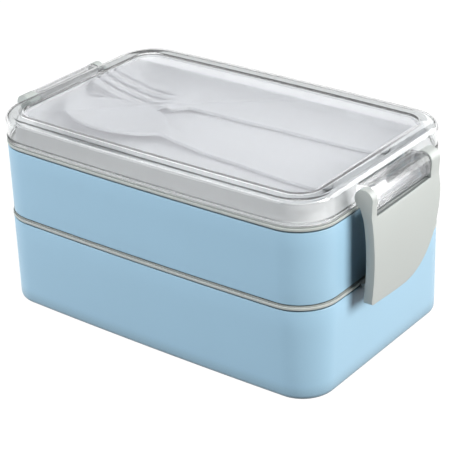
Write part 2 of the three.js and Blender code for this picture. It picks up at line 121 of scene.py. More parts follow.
def outline(inset, z, radius=None):
    """Points of the rim outline, drawn in by inset, at height z. Every outline has the same point count."""
    half_x = HALF_LENGTH - inset
    half_y = HALF_DEPTH - inset
    r = max(CORNER_RADIUS - inset if radius is None else radius, 1.0)
    points = []
    corners = ((1, -1), (1, 1), (-1, 1), (-1, -1))
    for turn, (side_x, side_y) in enumerate(corners):
        centre_x = side_x * (half_x - r)
        centre_y = side_y * (half_y - r)
        for step in range(CORNER_STEPS + 1):
            angle = math.radians(90 * (turn - 1 + step / CORNER_STEPS))
            points.append((centre_x + r * math.cos(angle), centre_y + r * math.sin(angle)))
        next_x, next_y = corners[(turn + 1) % 4]
        start = Vector(points[-1])
        angle = math.radians(90 * turn)
        end_x = next_x * (half_x - r) + r * math.cos(angle)
        end_y = next_y * (half_y - r) + r * math.sin(angle)
        end = Vector((end_x, end_y))
        steps = SHORT_SIDE_STEPS if turn % 2 == 0 else LONG_SIDE_STEPS
        for step in range(1, steps):
            points.append(tuple(start.lerp(end, step / steps)))
    crowned = []
    for x, y in points:
        bulge = 1 + CROWN / HALF_DEPTH * (1 - (x / HALF_LENGTH) ** 2)
        crowned.append(Vector((x, y * bulge, z)))
    return crowned


def circle_like_outline(radius, z):
    """A small circle about the Z axis with as many points as an outline, in matching directions."""
    circle = []
    for point in outline(0, z):
        direction = Vector((point.x, point.y, 0)).normalized()
        circle.append(Vector((direction.x * radius, direction.y * radius, z)))
    return circle


def arc(inset, z, radius, start, end, steps=5):
    """Profile points (inset, z) round a centre. 0 degrees faces outward and 90 faces up."""
    points = []
    for step in range(steps + 1):
        angle = math.radians(start + (end - start) * step / steps)
        points.append((inset - radius * math.cos(angle), z + radius * math.sin(angle)))
    return points


def new_object(name, verts, faces):
    """A mesh object from points in millimetres."""
    mesh = bpy.data.meshes.new(name)
    mesh.from_pydata([tuple(Vector(v) * MM) for v in verts], [], faces)
    mesh.validate()
    obj = bpy.data.objects.new(name, mesh)
    bpy.context.scene.collection.objects.link(obj)
    return obj


def smooth(obj, sharp_angle=35):
    """Welds coincident points, turns faces outward, and shades smooth with sharp edges kept."""
    bm = bmesh.new()
    bm.from_mesh(obj.data)
    bmesh.ops.remove_doubles(bm, verts=bm.verts, dist=0.005 * MM)
    bmesh.ops.dissolve_degenerate(bm, edges=bm.edges, dist=0.002 * MM)
    bmesh.ops.recalc_face_normals(bm, faces=bm.faces)
    bm.to_mesh(obj.data)
    bm.free()
    for polygon in obj.data.polygons:
        polygon.use_smooth = True
    obj.data.set_sharp_from_angle(angle=math.radians(sharp_angle))
    return obj


def loft(name, rings, closed=False, sharp_angle=35):
    """Skin through rings of equal point count. An open loft is capped at both ends."""
    count = len(rings[0])
    verts = [point for ring in rings for point in ring]
    faces = []
    spans = len(rings) if closed else len(rings) - 1
    for level in range(spans):
        here = level * count
        there = (level + 1) % len(rings) * count
        for i in range(count):
            j = (i + 1) % count
            faces.append((here + i, here + j, there + j, there + i))
    if not closed:
        faces.append(tuple(reversed(range(count))))
        faces.append(tuple(range(len(verts) - count, len(verts))))
    return smooth(new_object(name, verts, faces), sharp_angle)


def sweep(name, profile, closed=False, corner=None, sharp_angle=35):
    """Carries a profile of (inset, z) points round the rim. corner(inset, z) may set the corner radius."""
    rings = [outline(inset, z, corner(inset, z) if corner else None) for inset, z in profile]
    return loft(name, rings, closed, sharp_angle)


def apply_modifiers(obj):
    """Replaces the object's mesh with its evaluated one."""
    graph = bpy.context.evaluated_depsgraph_get()
    mesh = bpy.data.meshes.new_from_object(obj.evaluated_get(graph))
    obj.modifiers.clear()
    obj.data = mesh
    return obj


def bevel(obj, width, segments=2, angle=40):
    """Rounds the object's sharp edges by width, in millimetres."""
    modifier = obj.modifiers.new("edge_round", "BEVEL")
    modifier.width = width * MM
    modifier.segments = segments
    modifier.limit_method = "ANGLE"
    modifier.angle_limit = math.radians(angle)
    modifier.harden_normals = False
    return apply_modifiers(obj)


def combine(obj, others, operation):
    """Joins or cuts obj with others, which are used up."""
    for other in others:
        modifier = obj.modifiers.new("boolean", "BOOLEAN")
        modifier.operation = operation
        modifier.solver = "EXACT"
        modifier.object = other
        apply_modifiers(obj)
        bpy.data.objects.remove(other)
    return obj


def block(name, low, high):
    """A box between two corners, used for cutting."""
    corners = [(x, y, z) for x in (low[0], high[0]) for y in (low[1], high[1]) for z in (low[2], high[2])]
    faces = [(0, 1, 3, 2), (4, 6, 7, 5), (0, 4, 5, 1), (2, 3, 7, 6), (0, 2, 6, 4), (1, 5, 7, 3)]
    return new_object(name, corners, faces)


def rod(name, radius, x, z, y_from, y_to, sides=40):
    """A round bar along Y."""
    verts = []
    for y in (y_from, y_to):
        for side in range(sides):
            angle = 2 * math.pi * side / sides
            verts.append((x + radius * math.cos(angle), y, z + radius * math.sin(angle)))
    faces = [(i, (i + 1) % sides, sides + (i + 1) % sides, sides + i) for i in range(sides)]
    faces.append(tuple(reversed(range(sides))))
    faces.append(tuple(range(sides, 2 * sides)))
    return new_object(name, verts, faces)


def mix(a, b, t):
    return a + (b - a) * t


def smoothstep(t):
    t = min(max(t, 0.0), 1.0)
    return t * t * (3 - 2 * t)


# ---------------------------------------------------------------- tiers

def lower_corner(inset, z):
    """The lower tier's corner radius, which tightens towards the base."""
    return CORNER_RADIUS - inset - CORNER_NARROWING * (LOWER_LINER_HIGH.z - z)


def lower_shell():
    top = LOWER_HIGH.z
    base_inset = LOWER_SHELL_INSET + DRAFT * top
    wall = LOWER_SHELL_INSET + SHELL_WALL
    profile = [(base_inset + 30, 0), (base_inset + 6, 0)]
    profile += arc(base_inset + 2.8, 2.8, 2.8, -90, 0, 6)
    profile += [(mix(base_inset, LOWER_SHELL_INSET, t), mix(2.8, top - 0.4, t)) for t in (0.25, 0.5, 0.75)]
    profile += arc(LOWER_SHELL_INSET + 0.4, top - 0.4, 0.4, 0, 90, 3)
    profile += [(wall, top), (wall, top - 0.5), (wall + DRAFT * top, SHELL_FLOOR + 2)]
    profile += [(wall + DRAFT * top + 2, SHELL_FLOOR), (wall + 30, SHELL_FLOOR)]
    return sweep("lower_shell_fine", profile, corner=lower_corner)


def bar_along_y(name, section, y_from, y_to):
    """A bar along Y with a section drawn in (x, z)."""
    verts = [(x, y, z) for y in (y_from, y_to) for x, z in section]
    count = len(section)
    faces = [(i, (i + 1) % count, count + (i + 1) % count, count + i) for i in range(count)]
    faces += [tuple(reversed(range(count))), tuple(range(count, 2 * count))]
    return smooth(new_object(name, verts, faces))


def catch_tab(turn):
    """The tab on a short side of the lower flange that a latch hooks under."""
    section = [(92.4, 46.4), (93.25, 46.4), (93.25, 45.2), (96.2, 45.2), (96.2, 47.4), (92.4, 47.4)]
    tab = bevel(bar_along_y("tab", section, -22, 8), 0.35, 2)
    tab.data.transform(Matrix.Rotation(turn, 4, "Z"))
    return tab


def upper_shell():
    top = UPPER_HIGH.z
    bottom = UPPER_LOW.z
    outer = UPPER_SHELL_INSET
    wall = outer + SHELL_WALL
    floor = bottom + SHELL_FLOOR
    profile = [(outer + 30, bottom), (outer + 4, bottom)]
    profile += arc(outer + 0.7, bottom + 0.7, 0.7, -90, 0, 5)
    profile += [(outer, mix(bottom + 0.7, top - 0.4, t)) for t in (0.25, 0.5, 0.75)]
    profile += arc(outer + 0.4, top - 0.4, 0.4, 0, 90, 3)
    profile += [(wall, top), (wall, floor + 1), (wall + 1, floor), (wall + 30, floor)]
    return sweep("upper_shell_fine", profile)


def liner(name, low, high, band_inset, corner=None, draft=0.0):
    """An inner bowl whose flange shows as a grey band under each seam."""
    shell_inset = LOWER_SHELL_INSET if corner else UPPER_SHELL_INSET
    outer = shell_inset + SHELL_WALL + LINER_GAP
    depth = high.z - low.z
    inner = outer + LINER_WALL
    band_low = high.z - BAND_HEIGHT
    crest = high.z - BAND_GROOVE
    groove = band_inset + 0.9
    ledge = high.z - LEDGE_DEPTH
    floor = low.z + LINER_FLOOR
    edge = 0.35
    foot = outer + draft * depth
    profile = [(foot + 30, low.z), (foot + 6, low.z)]
    profile += arc(foot + 2, low.z + 2, 2, -90, 0, 4)
    profile += [(outer, band_low - 0.3), (outer - 0.3, band_low)]
    profile += arc(band_inset + edge, band_low + edge, edge, -90, 0, 4)
    profile += arc(band_inset + edge, crest - edge, edge, 0, 90, 4)
    profile += [(groove - 0.05, crest), (groove, crest + 0.05), (groove, high.z)]
    profile += [(LEDGE_INSET - 0.2, high.z), (LEDGE_INSET, high.z - 0.2), (LEDGE_INSET, ledge)]
    profile += [(inner - 0.25, ledge), (inner, ledge - 0.25)]
    inner_foot = inner + draft * depth
    profile += arc(inner_foot + 4, floor + 4, 4, 0, -90, 7)
    profile += [(inner_foot + 12, floor), (inner_foot + 30, floor)]
    return sweep(name, profile, corner=corner)


def lower_liner():
    body = liner("lower_liner_fine", LOWER_LINER_LOW, LOWER_LINER_HIGH, LOWER_BAND_INSET,
                 lower_corner, DRAFT)
    tabs = [catch_tab(turn) for turn in (0, math.pi)]
    return smooth(combine(body, tabs, "UNION"))


def upper_liner():
    return liner("upper_liner_fine", UPPER_LINER_LOW, UPPER_LINER_HIGH, UPPER_BAND_INSET)


# ---------------------------------------------------------------- covers, tray and seals

SKIRT_DEPTH = 6.0
SKIRT_WALL = 2.0
GASKET_SEAT = 0.85


def skirt_profile(inset, plate_bottom):
    """The skirt under a cover, from its outer root down, round its gasket groove and back up inside."""
    groove_low = plate_bottom - SKIRT_DEPTH + 1.6
    groove_high = groove_low + 2.2
    return [
        (inset, plate_bottom),
        (inset, groove_high),
        (inset + GASKET_SEAT, groove_high),
        (inset + GASKET_SEAT, groove_low),
        (inset, groove_low),
        (inset, plate_bottom - SKIRT_DEPTH + 0.4),
        (inset + 0.4, plate_bottom - SKIRT_DEPTH),
        (inset + SKIRT_WALL - 0.4, plate_bottom - SKIRT_DEPTH),
        (inset + SKIRT_WALL, plate_bottom - SKIRT_DEPTH + 0.4),
        (inset + SKIRT_WALL, plate_bottom - 0.6),
        (inset + SKIRT_WALL + 0.6, plate_bottom),
        (inset + 30, plate_bottom),
    ]


def gasket(name, node):
    """A soft ring with two rounded sealing beads."""
    low, high = box_mm(node)
    outer = HALF_LENGTH - high.x
    inner = outer + 1.1
    middle = (low.z + high.z) / 2
    bead = (high.z - low.z) / 4
    profile = [(inner, high.z), (inner, low.z)]
    profile += arc(outer + bead, low.z + bead, bead, -90, 40, 5)
    profile += [(outer + bead * 0.8, middle)]
    profile += arc(outer + bead, high.z - bead, bead, -40, 90, 5)
    return sweep(name, profile, closed=True)


def middle_cover():
    plate_low = MIDDLE_HIGH.z - 1.3
    edge = HALF_LENGTH - MIDDLE_HIGH.x
    top = MIDDLE_HIGH.z
    skirt = LOWER_SHELL_INSET + SHELL_WALL + LINER_GAP + LINER_WALL + 0.45
    profile = [(34, top), (11.6, top), (11, top - 0.5), (10, top - 0.5), (9.4, top)]
    profile += arc(edge + 0.4, top - 0.4, 0.4, 90, 0, 3)
    profile += [(edge, plate_low + 0.2), (edge + 0.2, plate_low)]
    profile += skirt_profile(skirt, plate_low)
    return sweep("middle_cover_fine", profile)


def cutlery_tray():
    """The upper tier's cover: a floor, a standing wall that leans in a little, and a gasketed skirt."""
    edge = HALF_LENGTH - TRAY_HIGH.x
    plate_top = TRAY_LOW.z + SKIRT_DEPTH + 1.3
    plate_low = plate_top - 1.3
    wall_top = TRAY_HIGH.z
    wall_outer = 4.2
    wall_inner = 5.5
    skirt = UPPER_SHELL_INSET + SHELL_WALL + LINER_GAP + LINER_WALL + 0.45
    lean = 1.0
    profile = [(34, plate_top)]
    profile += arc(wall_inner + 2.5, plate_top + 2.5, 2.5, -90, 0, 6)
    profile += arc(wall_inner + lean - 0.6, wall_top - 0.6, 0.6, 180, 90, 4)
    profile += arc(wall_outer + lean + 0.6, wall_top - 0.6, 0.6, 90, 0, 4)
    profile += [(wall_outer, plate_top + 0.6), (wall_outer - 0.4, plate_top)]
    profile += arc(edge + 0.4, plate_top - 0.4, 0.4, 90, 0, 3)
    profile += [(edge, plate_low + 0.2), (edge + 0.2, plate_low)]
    profile += skirt_profile(skirt, plate_low)
    return sweep("cutlery_tray_fine", profile)


def divider():
    low, high = DIVIDER_LOW, DIVIDER_HIGH
    middle = (low.x + high.x) / 2
    wall = block("divider_fine", (middle - 0.9, low.y, low.z), (middle + 0.9, high.y, high.z))
    foot = block("foot", (low.x, low.y + 4, low.z), (high.x, high.y - 4, low.z + 1.4))
    joined = combine(wall, [foot], "UNION")
    return smooth(bevel(joined, 0.4, 3), 30)


# ---------------------------------------------------------------- lid

LID_EDGE_ROUND = 3.2
LID_WALL = 1.5
LID_BORDER = 9.2
LID_CREST = LID_BORDER - 0.8             # where the border begins to fall to the panel
LID_PANEL_SINK = 1.2
LID_PANEL_THICKNESS = 1.4
LUG_ENDS = (-23.7, 20.4)
LUG_RADIUS = 4.4
LUG_BOTTOM = 85.8
PIN_LENGTH = 2.4


def lid_profile():
    """Side view of the lid's wall and border, from the panel's edge out, down, and back inside."""
    top = LID_HIGH.z
    panel = top - LID_PANEL_SINK
    foot_outer = -0.15
    foot_top = LID_LOW.z + 1.8
    under = panel - LID_PANEL_THICKNESS
    profile = [(LID_BORDER + 1.6, panel)]
    for t in (0.0, 0.15, 0.35, 0.5, 0.65, 0.85, 1.0):
        profile.append((mix(LID_BORDER + 0.6, LID_CREST, t), mix(panel, top, smoothstep(t))))
    profile += arc(LID_EDGE_ROUND, top - LID_EDGE_ROUND, LID_EDGE_ROUND, 90, 0, 10)
    profile += [(0.0, foot_top + 1.8), (0.12, foot_top + 0.9), (0.4, foot_top + 0.3), (0.5, foot_top + 0.02)]
    profile += arc(foot_outer + 0.35, foot_top - 0.35, 0.35, 85, 0, 4)
    profile += arc(foot_outer + 0.5, LID_LOW.z + 0.5, 0.5, 0, -90, 4)
    profile += [(2.0, LID_LOW.z), (2.1, LID_LOW.z + 0.1), (2.1, foot_top - 0.1)]
    profile += [(LID_WALL, foot_top + 0.2)]
    border_under = top - LID_WALL
    profile += arc(LID_EDGE_ROUND, top - LID_EDGE_ROUND, LID_EDGE_ROUND - LID_WALL, 0, 90, 8)
    for t in (0.0, 0.15, 0.35, 0.5, 0.65, 0.85, 1.0):
        profile.append((mix(LID_BORDER - 2.0, LID_BORDER + 1.2, t), mix(border_under, under, smoothstep(t))))
    profile += [(LID_BORDER + 1.6, under)]
    return profile


def lid():
    """Clear lid: swept wall and border, a flat sunk panel with a moulding dimple, and a lug at each end."""
    panel = LID_HIGH.z - LID_PANEL_SINK
    rings = [outline(inset, z) for inset, z in lid_profile()]
    dimple = [circle_like_outline(radius, panel - depth)
              for radius, depth in ((0.3, 0.16), (0.6, 0.14), (0.9, 0.03), (1.1, 0), (1.3, 0), (8, 0))]
    under = [circle_like_outline(radius, panel - LID_PANEL_THICKNESS) for radius in (8, 0.3)]
    body = loft("lid_fine", dimple + rings + under)
    lugs = [lug(turn) for turn in (0, math.pi)]
    return smooth(combine(body, lugs, "UNION"), 30)


def lug(turn):
    """Hinge lug: flat top, rounded shoulder, framed front face and a pin bore in each end."""
    front = HINGE_X + LUG_RADIUS
    top = HINGE_Z + LUG_RADIUS
    inner = HALF_LENGTH - 0.9
    section = [(inner, LUG_BOTTOM), (front - 0.9, LUG_BOTTOM), (front, LUG_BOTTOM + 0.9)]
    for step in range(11):
        angle = math.radians(9 * step)
        section.append((HINGE_X + LUG_RADIUS * math.cos(angle), HINGE_Z + LUG_RADIUS * math.sin(angle)))
    section.append((inner, top))
    near, far = LUG_ENDS
    frame = 3.4
    bar = bevel(bar_along_y("lug", section, near, far), 0.7, 3, 50)
    window_low = (front - 0.5, near + frame, LUG_BOTTOM + 1.5)
    window = block("window", window_low, (front + 1, far - frame, HINGE_Z + 0.3))
    groove = block("groove", (95.2, near + frame, top - 0.5), (99.6, far - frame, top + 1))
    bores = [rod("bore", 1.58, HINGE_X, HINGE_Z, near - 1, near + PIN_LENGTH + 0.1),
             rod("bore", 1.58, HINGE_X, HINGE_Z, far - PIN_LENGTH - 0.1, far + 1)]
    combine(bar, [window, groove] + bores, "DIFFERENCE")
    bar.data.transform(Matrix.Rotation(turn, 4, "Z"))
    return bar


# ---------------------------------------------------------------- latches

KNUCKLE_RADIUS = 4.6
ARM_INNER = (-24.0, 20.7)
PLATE_TOP = 84.0
PLATE_BOTTOM = 39.9
PLATE_OUTER = 102.7
PLATE_THICKNESS = 4.3
PLATE_BOW = 1.7
PLATE_ROWS = 22
STEP_DEPTH = 1.6
# Painted shadow of the lug on the plate's step: colour the step is multiplied by.
PAINTED_STEP_SHADE = (0.38, 0.39, 0.4)
HOOK_REACH = 94.1
HOOK_Y = (-20.0, 4.0)
HOOK_LOW = 42.4
HOOK_TOP = 44.9


def bezier(points, t):
    """Point at t on a cubic curve with four control points."""
    a, b, c, d = (Vector(p) for p in points)
    return a * (1 - t) ** 3 + b * 3 * t * (1 - t) ** 2 + c * 3 * t * t * (1 - t) + d * t ** 3


def latch_edge():
    """Lower edge of the latch as (y, z), from its near lower corner to the far side."""
    half = LATCH_HIGH.y
    points = [(-half, 43.2), (-half + 0.35, 41.7), (-half + 1.4, 40.9)]
    for t in (0.2, 0.4, 0.6, 0.8, 1.0):
        points.append((mix(-half + 1.4, -2, t), mix(40.9, PLATE_BOTTOM, smoothstep(t)) - 0.5 * t * (1 - t)))
    sweep_points = [(-2, PLATE_BOTTOM), (14, PLATE_BOTTOM - 0.4), (22.5, 52), (half, 76)]
    for step in range(1, 19):
        points.append(tuple(bezier(sweep_points, step / 18)))
    return points


def plate_x(z, thickness=0.0):
    """Bowed surface of the plate at height z."""
    t = (z - PLATE_BOTTOM) / (PLATE_TOP - PLATE_BOTTOM)
    bow = 4 * PLATE_BOW * t * (1 - t) if z < PLATE_TOP else 0
    return PLATE_OUTER - thickness + bow


def latch_loop(y, low, arm):
    """Side section (x, z) of the latch at y. arm sections reach up round the hinge axis."""
    recess = 0.0 if arm else STEP_DEPTH
    across = min(max((y - ARM_INNER[0]) / (ARM_INNER[1] - ARM_INNER[0]), 0), 1)
    recess_low = PLATE_TOP - mix(1.05, 0.15, across ** 2)
    hook = 1.0 if HOOK_Y[0] <= y <= HOOK_Y[1] else 0.0
    pocket = 1.7 if -24.4 <= y <= 14 else 0.0
    outer = [(plate_x(PLATE_TOP) - recess, PLATE_TOP), (plate_x(recess_low) - recess, recess_low)]
    outer += [(plate_x(z), z) for z in (mix(recess_low, low, i / PLATE_ROWS) for i in range(PLATE_ROWS + 1))]
    inner_low = plate_x(low, PLATE_THICKNESS)
    hook_low = max(HOOK_LOW, low + 0.3)
    hook_top = max(HOOK_TOP, hook_low + 0.2)
    pocket_low = max(50, hook_top + 1)
    pocket_top = 78
    inner = [(inner_low, low)]
    inner += [(plate_x(hook_low, PLATE_THICKNESS), hook_low)]
    inner += [(mix(plate_x(hook_low, PLATE_THICKNESS), HOOK_REACH, hook), hook_low)]
    inner += [(mix(plate_x(hook_top, PLATE_THICKNESS), HOOK_REACH, hook), hook_top)]
    inner += [(plate_x(z, PLATE_THICKNESS), z) for z in (hook_top, pocket_low)]
    for i in range(PLATE_ROWS // 2 + 1):
        z = mix(pocket_low, max(pocket_top, pocket_low), i / (PLATE_ROWS // 2))
        inner.append((plate_x(z, PLATE_THICKNESS - pocket), z))
    inner += [(plate_x(pocket_top, PLATE_THICKNESS), max(pocket_top, pocket_low))]
    start = Vector((HINGE_X - 1.6, HINGE_Z - 4.0))
    root = (plate_x(PLATE_TOP, PLATE_THICKNESS) + 0.1, PLATE_TOP - 2)
    inner.append(root)
    top = []
    steps = 28
    first = math.atan2(start.y - HINGE_Z, start.x - HINGE_X)
    for i in range(steps + 1):
        angle = mix(first, -2 * math.pi, i / steps)
        if arm:
            across, up = KNUCKLE_RADIUS * math.cos(angle), KNUCKLE_RADIUS * math.sin(angle)
            top.append((HINGE_X + across, HINGE_Z + up))
        else:
            t = i / steps
            top.append((mix(root[0] + 0.1, plate_x(PLATE_TOP) - recess, t), PLATE_TOP))
    return outer + inner + top


def latch(name, turn):
    """Bowed latch plate with two arms, knuckles round the hinge axis, a hook and stub pins."""
    edge = latch_edge()

    def low_at(y):
        for (y0, z0), (y1, z1) in zip(edge, edge[1:]):
            if y0 <= y <= y1:
                return mix(z0, z1, (y - y0) / (y1 - y0)) if y1 > y0 else z1
        return edge[-1][1]

    stations = [y for y, _ in edge]
    stations += [-24.4, -24.41, HOOK_Y[0], HOOK_Y[0] - 0.01, HOOK_Y[1], HOOK_Y[1] + 0.01, 14.0, 14.01]
    stations = sorted(set(round(y, 3) for y in stations))
    loops = []
    near, far = ARM_INNER
    for y in stations:
        beyond = min((s for s in stations if s > y), default=y)
        loops.append((y, not near < y < far))
        if y < near < beyond:
            loops += [(near, True), (near, False)]
        if y < far < beyond:
            loops += [(far, False), (far, True)]
    rings = []
    for y, arm in loops:
        rings.append([Vector((x, y, z)) for x, z in latch_loop(y, low_at(y), arm)])
    body = loft(name, rings)
    body = smooth(bevel(body, 0.55, 3, 50))
    pins = [rod("pin", 1.5, HINGE_X, HINGE_Z, near - 1, near + PIN_LENGTH),
            rod("pin", 1.5, HINGE_X, HINGE_Z, far - PIN_LENGTH, far + 1)]
    combine(body, pins, "UNION")
    body.data.transform(Matrix.Rotation(turn, 4, "Z"))
    return smooth(body, 40)


# ---------------------------------------------------------------- cutlery

def sheet(name, xs, half_width, height, lanes, keep, thickness):
    """A thin moulded sheet over stations xs. lanes are widthwise positions from -1 to 1, height(x, u) its
    underside, and keep(x, lane) says whether the cell beyond a station and lane is solid."""
    verts = [(x, half_width(x) * u, height(x, u)) for x in xs for u in lanes]
    across = len(lanes)
    faces = []
    for i in range(len(xs) - 1):
        for j in range(across - 1):
            if keep((xs[i] + xs[i + 1]) / 2, (lanes[j] + lanes[j + 1]) / 2):
                a = i * across + j
                faces.append((a, a + across, a + across + 1, a + 1))
    obj = new_object(name, verts, faces)
    bm = bmesh.new()
    bm.from_mesh(obj.data)
    loose = [v for v in bm.verts if not v.link_faces]
    bmesh.ops.delete(bm, geom=loose, context="VERTS")
    bmesh.ops.remove_doubles(bm, verts=bm.verts, dist=0.01 * MM)
    bmesh.ops.recalc_face_normals(bm, faces=bm.faces)
    if bm.faces and sum(f.normal.z for f in bm.faces) < 0:
        bmesh.ops.reverse_faces(bm, faces=bm.faces)
    bm.to_mesh(obj.data)
    bm.free()
    solid = obj.modifiers.new("thickness", "SOLIDIFY")
    solid.thickness = thickness * MM
    solid.offset = 1
    apply_modifiers(obj)
    rounding = obj.modifiers.new("rounding", "SUBSURF")
    rounding.levels = 2
    rounding.render_levels = 2
    apply_modifiers(obj)
    for polygon in obj.data.polygons:
        polygon.use_smooth = True
    return obj


HEAD_X = -58.0
FORK_Y = 20.0
FORK_TURN = 4.0
SPOON_Y = -14.5
SPOON_TURN = -1.5


def curve_through(points):
    """A smooth function through (x, value) points."""
    def value(x):
        if x <= points[0][0]:
            return points[0][1]
        for (x0, v0), (x1, v1) in zip(points, points[1:]):
            if x <= x1:
                return mix(v0, v1, smoothstep((x - x0) / (x1 - x0)))
        return points[-1][1]
    return value


def place_cutlery(body, turn, y):
    """Turns a fork or spoon about the middle of its head and sets it at y."""
    pivot = Vector((HEAD_X * MM, 0, 0))
    spin = Matrix.Rotation(math.radians(turn), 4, "Z")
    there = Matrix.Translation(pivot + Vector((0, y * MM, 0)))
    body.data.transform(there @ spin @ Matrix.Translation(-pivot))
    return body


def fork():
    """Four tines that curve up to their tips, a ridge at the shoulders, and a handle along the tray."""
    tip = -85.2
    end = 76.0
    slot_root = -47.5
    half = curve_through([(tip, 12.6), (-62, 13.4), (-44, 13.6), (-39, 12.4), (-30, 4.4), (-22, 4.0),
                          (10, 4.8), (60, 6.6), (end, 6.4)])
    side = curve_through([(tip, 93.0), (-78, 90.4), (-70, 88.1), (-61, 86.4), (-52, 85.7), (-45, 85.9),
                          (-40.2, 88.0), (-37, 86.8), (-20, 86.1), (0, 85.8), (end, 85.7)])

    def half_width(x):
        rounding = 1.0
        if x > end - 6:
            rounding = math.sqrt(max(1 - ((x - end + 6) / 6) ** 2, 0.02))
        return half(x) * rounding

    def height(x, u):
        dish = 0.4 * smoothstep((-36 - x) / 12)
        return side(x) + dish * u * u

    lanes = [-1, -0.87, -0.73, -0.6, -0.42, -0.33, -0.2, -0.09, 0.09, 0.2, 0.33, 0.42, 0.6, 0.73, 0.87, 1]
    slots = ((-0.60, -0.42), (-0.09, 0.09), (0.42, 0.60))

    def keep(x, u):
        return x > slot_root or not any(low < u < high for low, high in slots)

    count = 120
    xs = [mix(tip, end, i / count) for i in range(count + 1)]
    return place_cutlery(sheet("fork_fine", xs, half_width, height, lanes, keep, 1.7), FORK_TURN, FORK_Y)


def spoon():
    """An oval bowl whose rim stands above the tray, and a handle like the fork's."""
    tip = -81.0
    end = 76.0
    bowl_half = 17.3
    bowl_end = -20
    middle = (tip + bowl_end) / 2
    reach = (bowl_end - tip) / 2
    neck = curve_through([(bowl_end - 8, 4.2), (-10, 3.9), (14, 4.8), (60, 6.6), (end, 6.4)])
    side = curve_through([(tip, 90.0), (-36, 90.0), (-22, 89.4), (-8, 87.2), (10, 86.0), (end, 85.7)])

    def half_width(x):
        ellipse = bowl_half * math.sqrt(max(1 - ((x - middle) / reach) ** 2, 0.0)) if x < bowl_end else 0.0
        handle = neck(x) if x > bowl_end - 8 else 0.8
        width = (ellipse ** 4 + handle ** 4) ** 0.25
        if x > end - 6:
            width *= math.sqrt(max(1 - ((x - end + 6) / 6) ** 2, 0.02))
        return width

    def height(x, u):
        along = min(max((x - tip) / (bowl_end - tip), 0), 1)
        depth = 4.2 * math.sin(math.pi * along) ** 0.8 if 0 < along < 1 else 0
        return side(x) - depth * (1 - u * u)

    lanes = [-1, -0.92, -0.8, -0.64, -0.44, -0.22, 0, 0.22, 0.44, 0.64, 0.8, 0.92, 1]
    xs = [middle - reach * math.cos(math.pi * i / 40) for i in range(1, 34)]
    xs += [mix(xs[-1], end, i / 36) for i in range(1, 37)]
    body = sheet("spoon_fine", xs, half_width, height, lanes, lambda x, u: True, 1.6)
    return place_cutlery(body, SPOON_TURN, SPOON_Y)


# ---------------------------------------------------------------- materials

PANEL_HAZE = 0.31                        # share of light that each face of the lid's panel scatters
PANEL_LIGHT = 0.94                       # share of lamp light that passes each flat face of the lid
WALL_LIGHT = 0.67                        # the same for its upright walls
PAINTED_GAP_SHADE = 0.3                          # painted shade: colour left in the tightest gaps
STRAIGHT_LIGHT = 0.03                    # share that passes each face of the lid without being bent
LUG_STRAIGHT_LIGHT = 0.4                 # the same for the hinge lugs
LUG_HAZE = 0.26                          # haze of the hinge lugs
LUG_LIGHT = 0.75                         # lamp light left after a thick lug, next to a thin wall
HAZE_COLOR = (0.68, 0.69, 0.72, 1)
CREST_SHADE = 0.62                        # strength of the painted shade line round the panel, at the front
FAR_CREST_SHADE = 0.06                    # and at the back
LEFT_CREST_SHADE = 0.3                    # share of either along the left end


def node_tree(name):
    """A new material with its nodes and links."""
    material = bpy.data.materials.new(name)
    material.use_nodes = True
    return material, material.node_tree.nodes, material.node_tree.links


def calculator(nodes, links):
    """Gives a function that adds a math node, fed by sockets or plain values, and returns its output."""
    def calc(operation, *terms):
        made = nodes.new("ShaderNodeMath")
        made.operation = operation
        for slot, term in enumerate(terms):
            if hasattr(term, "node"):
                links.new(term, made.inputs[slot])
            else:
                made.inputs[slot].default_value = term
        return made.outputs[0]
    return calc


def ramp(nodes, links, value, low, high, start=0.0, end=1.0):
    """Runs from start to end while value runs from low to high."""
    made = nodes.new("ShaderNodeMapRange")
    for name, number in (("From Min", low), ("From Max", high), ("To Min", start), ("To Max", end)):
        made.inputs[name].default_value = number
    links.new(value, made.inputs["Value"])
    return made.outputs["Result"]


def blend(nodes, links, amount, first, second):
    """Mixes two surface shaders; amount is a socket or a plain share of the second."""
    made = nodes.new("ShaderNodeMixShader")
    if hasattr(amount, "node"):
        links.new(amount, made.inputs[0])
    else:
        made.inputs[0].default_value = amount
    links.new(first, made.inputs[1])
    links.new(second, made.inputs[2])
    return made.outputs[0]


def painted_gap_shade(nodes, links, color, reach):
    """Painted shade: the colour darkened where other surfaces come nearer than reach: seams, steps, behind
    the latches.
    """
    openness = nodes.new("ShaderNodeAmbientOcclusion")
    openness.samples = 8
    openness.inputs["Distance"].default_value = reach * MM
    shaded = nodes.new("ShaderNodeMixRGB")
    shaded.blend_type = "MULTIPLY"
    shaded.inputs[0].default_value = 1
    links.new(color, shaded.inputs[1])
    links.new(ramp(nodes, links, openness.outputs["AO"], 0.2, 0.85, PAINTED_GAP_SHADE, 1), shaded.inputs[2])
    return shaded.outputs[0]


